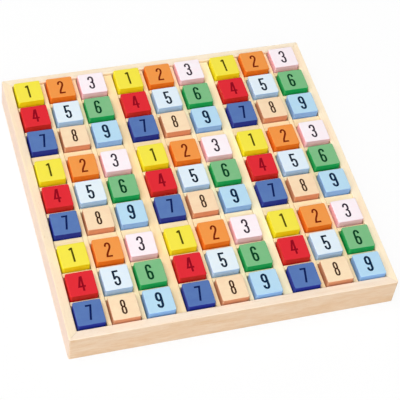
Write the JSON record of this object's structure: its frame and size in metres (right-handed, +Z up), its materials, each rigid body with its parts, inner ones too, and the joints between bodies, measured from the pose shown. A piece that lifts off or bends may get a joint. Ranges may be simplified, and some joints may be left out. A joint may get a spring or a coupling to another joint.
{
  "type": "sudoku board",
  "caption": "Square wooden sudoku board: a mitred tray with a cross-lapped lattice of cells, each holding a painted number block that lifts out.",
  "frame": {"origin": "middle of the underside of the tray", "axes": "+Z up, out of the cells; +Y to the back, so that the digits read upright from -Y; +X to the right"},
  "size_m": [0.29, 0.29, 0.0333],
  "materials": {
    "board_wood": "plain sanded wood",
    "rail_wood": "sanded wood with a satin clear coat",
    "divider_wood": "sanded wood with a satin clear coat",
    "paint_yellow": "wood under satin paint",
    "paint_orange": "wood under satin paint",
    "paint_pale_pink": "wood under satin paint",
    "paint_red": "wood under satin paint",
    "paint_pale_blue": "wood under satin paint",
    "paint_green": "wood under satin paint",
    "paint_blue": "wood under satin paint",
    "paint_peach": "wood under satin paint",
    "paint_light_blue": "wood under satin paint"
  },
  "bodies": {
    "tray": {"base_board": "board_wood", "rail_front": "rail_wood", "rail_right": "rail_wood", "rail_back": "rail_wood", "rail_left": "rail_wood", "column_divider_1": "divider_wood", "column_divider_2": "divider_wood", "column_divider_3": "divider_wood", "column_divider_4": "divider_wood", "column_divider_5": "divider_wood", "column_divider_6": "divider_wood", "column_divider_7": "divider_wood", "column_divider_8": "divider_wood", "row_divider_1": "divider_wood", "row_divider_2": "divider_wood", "row_divider_3": "divider_wood", "row_divider_4": "divider_wood", "row_divider_5": "divider_wood", "row_divider_6": "divider_wood", "row_divider_7": "divider_wood", "row_divider_8": "divider_wood"},
    "blocks_1_back": {"blocks_1_back": "paint_yellow"},
    "blocks_1_middle": {"blocks_1_middle": "paint_yellow"},
    "blocks_1_front": {"blocks_1_front": "paint_yellow"},
    "blocks_2_back": {"blocks_2_back": "paint_orange"},
    "blocks_2_middle": {"blocks_2_middle": "paint_orange"},
    "blocks_2_front": {"blocks_2_front": "paint_orange"},
    "blocks_3_back": {"blocks_3_back": "paint_pale_pink"},
    "blocks_3_middle": {"blocks_3_middle": "paint_pale_pink"},
    "blocks_3_front": {"blocks_3_front": "paint_pale_pink"},
    "blocks_4_back": {"blocks_4_back": "paint_red"},
    "blocks_4_middle": {"blocks_4_middle": "paint_red"},
    "blocks_4_front": {"blocks_4_front": "paint_red"},
    "blocks_5_back": {"blocks_5_back": "paint_pale_blue"},
    "blocks_5_middle": {"blocks_5_middle": "paint_pale_blue"},
    "blocks_5_front": {"blocks_5_front": "paint_pale_blue"},
    "blocks_6_back": {"blocks_6_back": "paint_green"},
    "blocks_6_middle": {"blocks_6_middle": "paint_green"},
    "blocks_6_front": {"blocks_6_front": "paint_green"},
    "blocks_7_back": {"blocks_7_back": "paint_blue"},
    "blocks_7_middle": {"blocks_7_middle": "paint_blue"},
    "blocks_7_front": {"blocks_7_front": "paint_blue"},
    "blocks_8_back": {"blocks_8_back": "paint_peach"},
    "blocks_8_middle": {"blocks_8_middle": "paint_peach"},
    "blocks_8_front": {"blocks_8_front": "paint_peach"},
    "blocks_9_back": {"blocks_9_back": "paint_light_blue"},
    "blocks_9_middle": {"blocks_9_middle": "paint_light_blue"},
    "blocks_9_front": {"blocks_9_front": "paint_light_blue"}
  },
  "joints": [
    {"name": "lift_1_back", "type": "slide", "parent": "tray", "child": "blocks_1_back", "axis": [0, 0, 1], "range_m": [0, 0.03]},
    {"name": "lift_1_middle", "type": "slide", "parent": "tray", "child": "blocks_1_middle", "axis": [0, 0, 1], "range_m": [0, 0.03]},
    {"name": "lift_1_front", "type": "slide", "parent": "tray", "child": "blocks_1_front", "axis": [0, 0, 1], "range_m": [0, 0.03]},
    {"name": "lift_2_back", "type": "slide", "parent": "tray", "child": "blocks_2_back", "axis": [0, 0, 1], "range_m": [0, 0.03]},
    {"name": "lift_2_middle", "type": "slide", "parent": "tray", "child": "blocks_2_middle", "axis": [0, 0, 1], "range_m": [0, 0.03]},
    {"name": "lift_2_front", "type": "slide", "parent": "tray", "child": "blocks_2_front", "axis": [0, 0, 1], "range_m": [0, 0.03]},
    {"name": "lift_3_back", "type": "slide", "parent": "tray", "child": "blocks_3_back", "axis": [0, 0, 1], "range_m": [0, 0.03]},
    {"name": "lift_3_middle", "type": "slide", "parent": "tray", "child": "blocks_3_middle", "axis": [0, 0, 1], "range_m": [0, 0.03]},
    {"name": "lift_3_front", "type": "slide", "parent": "tray", "child": "blocks_3_front", "axis": [0, 0, 1], "range_m": [0, 0.03]},
    {"name": "lift_4_back", "type": "slide", "parent": "tray", "child": "blocks_4_back", "axis": [0, 0, 1], "range_m": [0, 0.03]},
    {"name": "lift_4_middle", "type": "slide", "parent": "tray", "child": "blocks_4_middle", "axis": [0, 0, 1], "range_m": [0, 0.03]},
    {"name": "lift_4_front", "type": "slide", "parent": "tray", "child": "blocks_4_front", "axis": [0, 0, 1], "range_m": [0, 0.03]},
    {"name": "lift_5_back", "type": "slide", "parent": "tray", "child": "blocks_5_back", "axis": [0, 0, 1], "range_m": [0, 0.03]},
    {"name": "lift_5_middle", "type": "slide", "parent": "tray", "child": "blocks_5_middle", "axis": [0, 0, 1], "range_m": [0, 0.03]},
    {"name": "lift_5_front", "type": "slide", "parent": "tray", "child": "blocks_5_front", "axis": [0, 0, 1], "range_m": [0, 0.03]},
    {"name": "lift_6_back", "type": "slide", "parent": "tray", "child": "blocks_6_back", "axis": [0, 0, 1], "range_m": [0, 0.03]},
    {"name": "lift_6_middle", "type": "slide", "parent": "tray", "child": "blocks_6_middle", "axis": [0, 0, 1], "range_m": [0, 0.03]},
    {"name": "lift_6_front", "type": "slide", "parent": "tray", "child": "blocks_6_front", "axis": [0, 0, 1], "range_m": [0, 0.03]},
    {"name": "lift_7_back", "type": "slide", "parent": "tray", "child": "blocks_7_back", "axis": [0, 0, 1], "range_m": [0, 0.03]},
    {"name": "lift_7_middle", "type": "slide", "parent": "tray", "child": "blocks_7_middle", "axis": [0, 0, 1], "range_m": [0, 0.03]},
    {"name": "lift_7_front", "type": "slide", "parent": "tray", "child": "blocks_7_front", "axis": [0, 0, 1], "range_m": [0, 0.03]},
    {"name": "lift_8_back", "type": "slide", "parent": "tray", "child": "blocks_8_back", "axis": [0, 0, 1], "range_m": [0, 0.03]},
    {"name": "lift_8_middle", "type": "slide", "parent": "tray", "child": "blocks_8_middle", "axis": [0, 0, 1], "range_m": [0, 0.03]},
    {"name": "lift_8_front", "type": "slide", "parent": "tray", "child": "blocks_8_front", "axis": [0, 0, 1], "range_m": [0, 0.03]},
    {"name": "lift_9_back", "type": "slide", "parent": "tray", "child": "blocks_9_back", "axis": [0, 0, 1], "range_m": [0, 0.03]},
    {"name": "lift_9_middle", "type": "slide", "parent": "tray", "child": "blocks_9_middle", "axis": [0, 0, 1], "range_m": [0, 0.03]},
    {"name": "lift_9_front", "type": "slide", "parent": "tray", "child": "blocks_9_front", "axis": [0, 0, 1], "range_m": [0, 0.03]}
  ]
}
